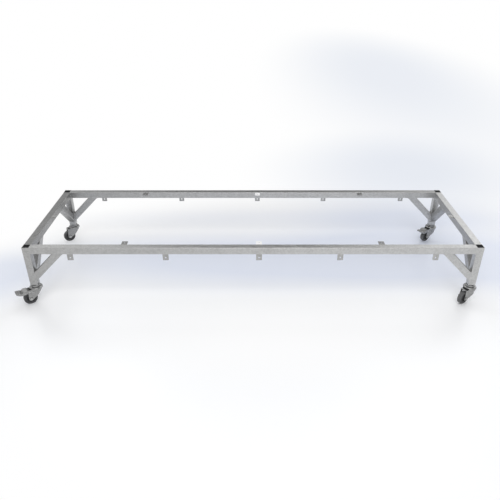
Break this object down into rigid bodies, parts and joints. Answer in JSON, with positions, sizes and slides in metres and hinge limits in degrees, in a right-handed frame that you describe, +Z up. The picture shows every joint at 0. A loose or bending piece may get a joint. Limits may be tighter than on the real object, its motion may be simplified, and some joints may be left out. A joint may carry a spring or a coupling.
{
  "type": "roller platform frame",
  "caption": "Low rectangular platform frame of welded galvanised square tube with braced legs, drilled tabs for deck and side panels, swivel casters and foot brakes.",
  "frame": {"origin": "middle of the frame, level with the tops of the rails; also the middle of the deck tab holes", "axes": "+X along the long rails to the right, +Y to the back, +Z up"},
  "size_m": [2.6003, 0.8535, 0.358],
  "materials": {
    "galvanised_steel": "matte",
    "zinc_pressing": "satin",
    "zinc_fastener": "bright",
    "dark_steel": "matte",
    "plug_plastic": "matte",
    "wheel_plastic": "matte",
    "tyre_rubber": "matte"
  },
  "bodies": {
    "frame": {"long_rail_front": "galvanised_steel", "long_rail_back": "galvanised_steel", "short_rail_left": "galvanised_steel", "short_rail_right": "galvanised_steel", "leg_front_left": "galvanised_steel", "long_brace_front_left": "galvanised_steel", "short_brace_front_left": "galvanised_steel", "leg_front_right": "galvanised_steel", "long_brace_front_right": "galvanised_steel", "short_brace_front_right": "galvanised_steel", "leg_back_left": "galvanised_steel", "long_brace_back_left": "galvanised_steel", "short_brace_back_left": "galvanised_steel", "leg_back_right": "galvanised_steel", "long_brace_back_right": "galvanised_steel", "short_brace_back_right": "galvanised_steel", "leg_caps": "plug_plastic", "hanging_tabs": "galvanised_steel", "deck_tabs": "galvanised_steel", "foot_inserts": "zinc_fastener", "stems": "zinc_fastener", "jam_nuts": "zinc_fastener", "swivel_caps": "zinc_pressing", "kingpin_washers": "zinc_fastener", "kingpin_nuts": "zinc_fastener"},
    "swivel_front_left": {"fork_front_left": "zinc_pressing", "swivel_balls_front_left": "zinc_fastener", "axle_sleeve_front_left": "zinc_fastener", "axle_bolt_front_left": "zinc_fastener", "axle_nut_front_left": "zinc_fastener", "brake_pin_front_left": "zinc_fastener"},
    "wheel_front_left": {"wheel_core_front_left": "wheel_plastic", "tyre_front_left": "tyre_rubber"},
    "brake_front_left": {"brake_pedal_front_left": "zinc_pressing", "brake_shoe_front_left": "dark_steel"},
    "swivel_front_right": {"fork_front_right": "zinc_pressing", "swivel_balls_front_right": "zinc_fastener", "axle_sleeve_front_right": "zinc_fastener", "axle_bolt_front_right": "zinc_fastener", "axle_nut_front_right": "zinc_fastener"},
    "wheel_front_right": {"wheel_core_front_right": "wheel_plastic", "tyre_front_right": "tyre_rubber"},
    "swivel_back_left": {"fork_back_left": "zinc_pressing", "swivel_balls_back_left": "zinc_fastener", "axle_sleeve_back_left": "zinc_fastener", "axle_bolt_back_left": "zinc_fastener", "axle_nut_back_left": "zinc_fastener"},
    "wheel_back_left": {"wheel_core_back_left": "wheel_plastic", "tyre_back_left": "tyre_rubber"},
    "swivel_back_right": {"fork_back_right": "zinc_pressing", "swivel_balls_back_right": "zinc_fastener", "axle_sleeve_back_right": "zinc_fastener", "axle_bolt_back_right": "zinc_fastener", "axle_nut_back_right": "zinc_fastener", "brake_pin_back_right": "zinc_fastener"},
    "wheel_back_right": {"wheel_core_back_right": "wheel_plastic", "tyre_back_right": "tyre_rubber"},
    "brake_back_right": {"brake_pedal_back_right": "zinc_pressing", "brake_shoe_back_right": "dark_steel"}
  },
  "joints": [
    {"name": "swivel_turn_front_left", "type": "hinge", "parent": "frame", "child": "swivel_front_left", "pos_m": [-1.23, -0.37, -0.253], "axis": [0, 0, 1], "continuous": true},
    {"name": "wheel_roll_front_left", "type": "hinge", "parent": "swivel_front_left", "child": "wheel_front_left", "pos_m": [-1.26439, -0.39233, -0.3205], "axis": [0.5446, -0.8387, 0], "continuous": true},
    {"name": "brake_press_front_left", "type": "hinge", "parent": "swivel_front_left", "child": "brake_front_left", "pos_m": [-1.26606, -0.39342, -0.275], "axis": [0.5446, -0.8387, 0], "range_deg": [0, 24]},
    {"name": "swivel_turn_front_right", "type": "hinge", "parent": "frame", "child": "swivel_front_right", "pos_m": [1.23, -0.37, -0.253], "axis": [0, 0, 1], "continuous": true},
    {"name": "wheel_roll_front_right", "type": "hinge", "parent": "swivel_front_right", "child": "wheel_front_right", "pos_m": [1.19562, -0.39233, -0.3205], "axis": [0.5446, -0.8387, 0], "continuous": true},
    {"name": "swivel_turn_back_left", "type": "hinge", "parent": "frame", "child": "swivel_back_left", "pos_m": [-1.23, 0.37, -0.253], "axis": [0, 0, 1], "continuous": true},
    {"name": "wheel_roll_back_left", "type": "hinge", "parent": "swivel_back_left", "child": "wheel_back_left", "pos_m": [-1.26439, 0.34767, -0.3205], "axis": [0.5446, -0.8387, 0], "continuous": true},
    {"name": "swivel_turn_back_right", "type": "hinge", "parent": "frame", "child": "swivel_back_right", "pos_m": [1.23, 0.37, -0.253], "axis": [0, 0, 1], "continuous": true},
    {"name": "wheel_roll_back_right", "type": "hinge", "parent": "swivel_back_right", "child": "wheel_back_right", "pos_m": [1.19562, 0.34767, -0.3205], "axis": [0.5446, -0.8387, 0], "continuous": true},
    {"name": "brake_press_back_right", "type": "hinge", "parent": "swivel_back_right", "child": "brake_back_right", "pos_m": [1.19394, 0.34658, -0.275], "axis": [0.5446, -0.8387, 0], "range_deg": [0, 24]}
  ]
}
